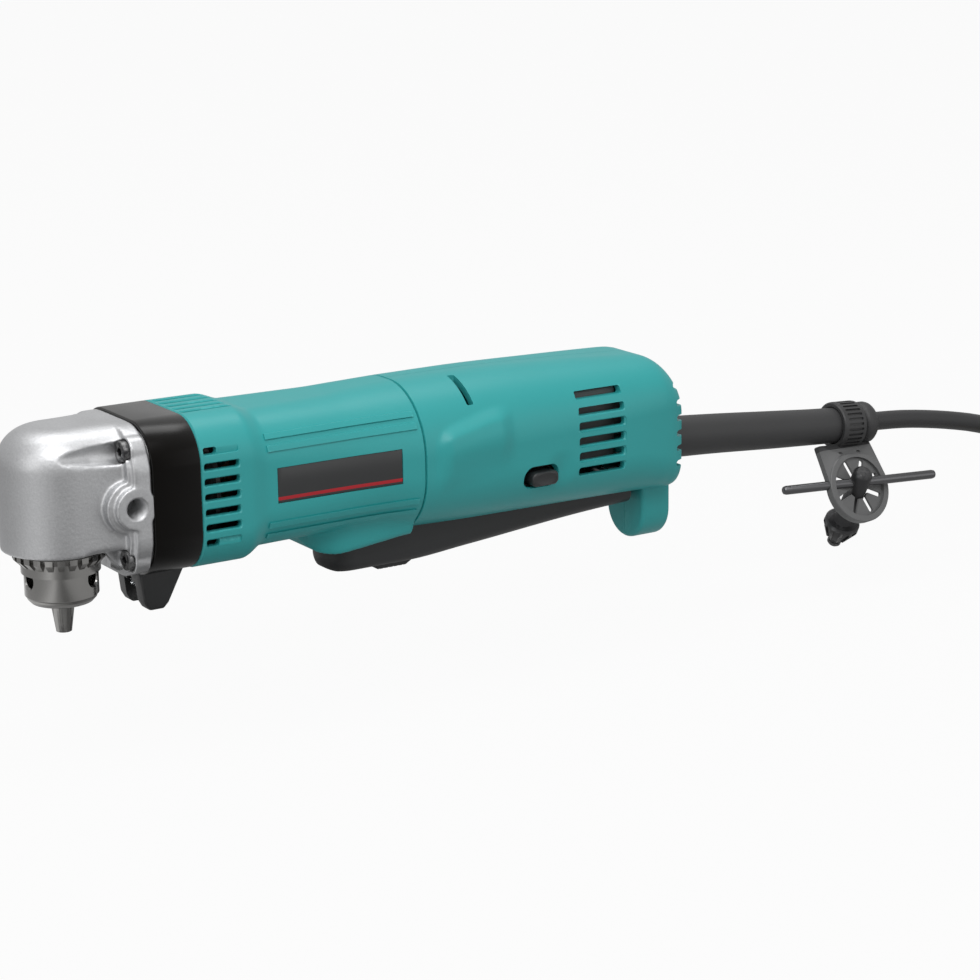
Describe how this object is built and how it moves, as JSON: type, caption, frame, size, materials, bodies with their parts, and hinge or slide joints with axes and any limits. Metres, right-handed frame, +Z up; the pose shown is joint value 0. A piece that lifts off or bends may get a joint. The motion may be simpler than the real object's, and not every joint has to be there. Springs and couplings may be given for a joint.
{
  "type": "right angle drill",
  "caption": "Corded right angle drill with a cast gear head, keyed chuck, paddle switch with lock-off lever, lamp, cord guard, and a chuck key in a rubber holder.",
  "frame": {"origin": "on the motor axis in the middle of the grip, where a hand holds the tool", "axes": "+Z up, +X along the motor axis to the rear, where the cord leaves; the spindle points to -Z at the front"},
  "size_m": [0.6438, 0.0684, 0.107],
  "materials": {
    "teal_plastic": "moulded nylon in blue green, fine satin grain",
    "black_plastic": "moulded black nylon, satin",
    "dark_rubber": "dark grey moulded rubber",
    "cord_rubber": "dark grey rubber sheath, smooth",
    "cast_aluminium": "die cast, silver lacquer with a fine grain",
    "chuck_steel": "turned steel, bright",
    "key_steel": "hardened steel, dull grey",
    "gear_steel": "ground steel",
    "bearing_steel": "ground bearing steel",
    "screw_steel": "blackened steel",
    "core_steel": "stacked sheet steel",
    "copper_wire": "lacquered copper",
    "brass": "plain brass",
    "carbon": "pressed carbon",
    "plate_black": "black plate with a thin red stripe",
    "lens_clear": "clear moulded lens",
    "lamp_white": "milky lamp body"
  },
  "bodies": {
    "housing": {"motor_housing": "teal_plastic", "rear_housing_left": "teal_plastic", "rear_housing_right": "teal_plastic", "housing_band": "black_plastic", "lamp_guard": "black_plastic", "switch_body": "black_plastic", "air_baffle": "black_plastic", "cord_clamp": "black_plastic", "cord_guard": "dark_rubber", "coil_tie": "dark_rubber", "cord": "cord_rubber", "cord_coil": "cord_rubber", "plug_body": "cord_rubber", "gear_housing": "cast_aluminium", "bearing_box": "cast_aluminium", "paddle_pin": "gear_steel", "paddle_spring": "gear_steel", "spindle_lower_bearing": "bearing_steel", "spindle_upper_bearing": "bearing_steel", "bearing_retainer": "bearing_steel", "countershaft_front_bearing": "bearing_steel", "countershaft_rear_bearing": "bearing_steel", "motor_front_bearing": "bearing_steel", "motor_rear_bearing": "bearing_steel", "gear_housing_screws": "screw_steel", "rear_housing_screws": "screw_steel", "cord_clamp_screw": "screw_steel", "field_core": "core_steel", "field_coils": "copper_wire", "brush_holders": "brass", "plug_pins": "brass", "carbon_brushes": "carbon", "name_plate": "plate_black", "lamp_lens": "lens_clear", "lamp_diode": "lamp_white"},
    "armature": {"motor_shaft": "gear_steel", "armature_core": "core_steel", "armature_winding": "copper_wire", "commutator": "copper_wire", "cooling_fan": "black_plastic"},
    "countershaft": {"countershaft": "gear_steel", "reduction_gear": "gear_steel"},
    "spindle": {"spindle": "gear_steel", "bevel_gear": "gear_steel", "chuck_body": "chuck_steel"},
    "chuck_ring": {"chuck_ring": "chuck_steel", "chuck_nut": "chuck_steel"},
    "jaw_1": {"chuck_jaw_1": "chuck_steel"},
    "jaw_2": {"chuck_jaw_2": "chuck_steel"},
    "jaw_3": {"chuck_jaw_3": "chuck_steel"},
    "paddle": {"paddle": "black_plastic", "lock_pin": "gear_steel"},
    "lock_lever": {"lock_lever": "black_plastic"},
    "switch_plunger": {"switch_plunger": "black_plastic"},
    "reversing_slide": {"reversing_slide": "black_plastic"},
    "key_holder": {"key_holder": "dark_rubber"},
    "chuck_key": {"chuck_key": "key_steel", "key_bar": "key_steel"}
  },
  "joints": [
    {"name": "armature_spin", "type": "hinge", "parent": "housing", "child": "armature", "pos_m": [0, 0, 0], "axis": [1, 0, 0], "continuous": true},
    {"name": "countershaft_spin", "type": "hinge", "parent": "housing", "child": "countershaft", "pos_m": [0, 0, 0.0123], "axis": [1, 0, 0], "continuous": true},
    {"name": "spindle_spin", "type": "hinge", "parent": "housing", "child": "spindle", "pos_m": [-0.098, 0, 0], "axis": [0, 0, 1], "continuous": true},
    {"name": "chuck_ring_turn", "type": "hinge", "parent": "spindle", "child": "chuck_ring", "pos_m": [-0.098, 0, -0.0215], "axis": [0, 0, 1], "range_deg": [0, 4032]},
    {"name": "jaw_1_slide", "type": "slide", "parent": "spindle", "child": "jaw_1", "axis": [0.2788, -0.0097, 0.9603], "range_m": [0, 0.01794]},
    {"name": "jaw_2_slide", "type": "slide", "parent": "spindle", "child": "jaw_2", "axis": [-0.131, 0.2463, 0.9603], "range_m": [0, 0.01794]},
    {"name": "jaw_3_slide", "type": "slide", "parent": "spindle", "child": "jaw_3", "axis": [-0.1478, -0.2366, 0.9603], "range_m": [0, 0.01794]},
    {"name": "paddle_squeeze", "type": "hinge", "parent": "housing", "child": "paddle", "pos_m": [0.127, 0, -0.0235], "axis": [0, 1, 0], "range_deg": [0, 2.8], "stiffness_Nm_per_rad": 15, "springref_deg": -1.72, "deforming": ["paddle_spring"]},
    {"name": "switch_plunger_slide", "type": "slide", "parent": "housing", "child": "switch_plunger", "axis": [0, 0, 1], "range_m": [0, 0.0032]},
    {"name": "lock_lever_swing", "type": "hinge", "parent": "paddle", "child": "lock_lever", "pos_m": [0.0345, 0, -0.0375], "axis": [0, 1, 0], "range_deg": [0, 18], "stiffness_Nm_per_rad": 0.05, "springref_deg": -11.46},
    {"name": "reversing_slide_push", "type": "slide", "parent": "housing", "child": "reversing_slide", "axis": [0, 1, 0], "range_m": [0, 0.005]},
    {"name": "key_holder_swivel", "type": "hinge", "parent": "housing", "child": "key_holder", "pos_m": [0.236, 0, -0.01986], "axis": [0.9982, 0, -0.0593], "range_deg": [-60, 60]},
    {"name": "chuck_key_pull", "type": "slide", "parent": "key_holder", "child": "chuck_key", "axis": [-0.1193, -0.561, 0.8192], "range_m": [0, 0.06], "deforming": ["key_holder"]}
  ],
  "couplings": [
    {"joint": "countershaft_spin", "follows": "armature_spin", "ratio": -0.28125},
    {"joint": "spindle_spin", "follows": "armature_spin", "ratio": -0.09375},
    {"joint": "jaw_1_slide", "follows": "chuck_ring_turn", "m_per_rad": 0.00025465},
    {"joint": "jaw_2_slide", "follows": "chuck_ring_turn", "m_per_rad": 0.00025465},
    {"joint": "jaw_3_slide", "follows": "chuck_ring_turn", "m_per_rad": 0.00025465},
    {"joint": "switch_plunger_slide", "follows": "paddle_squeeze", "m_per_rad": 0.063}
  ]
}
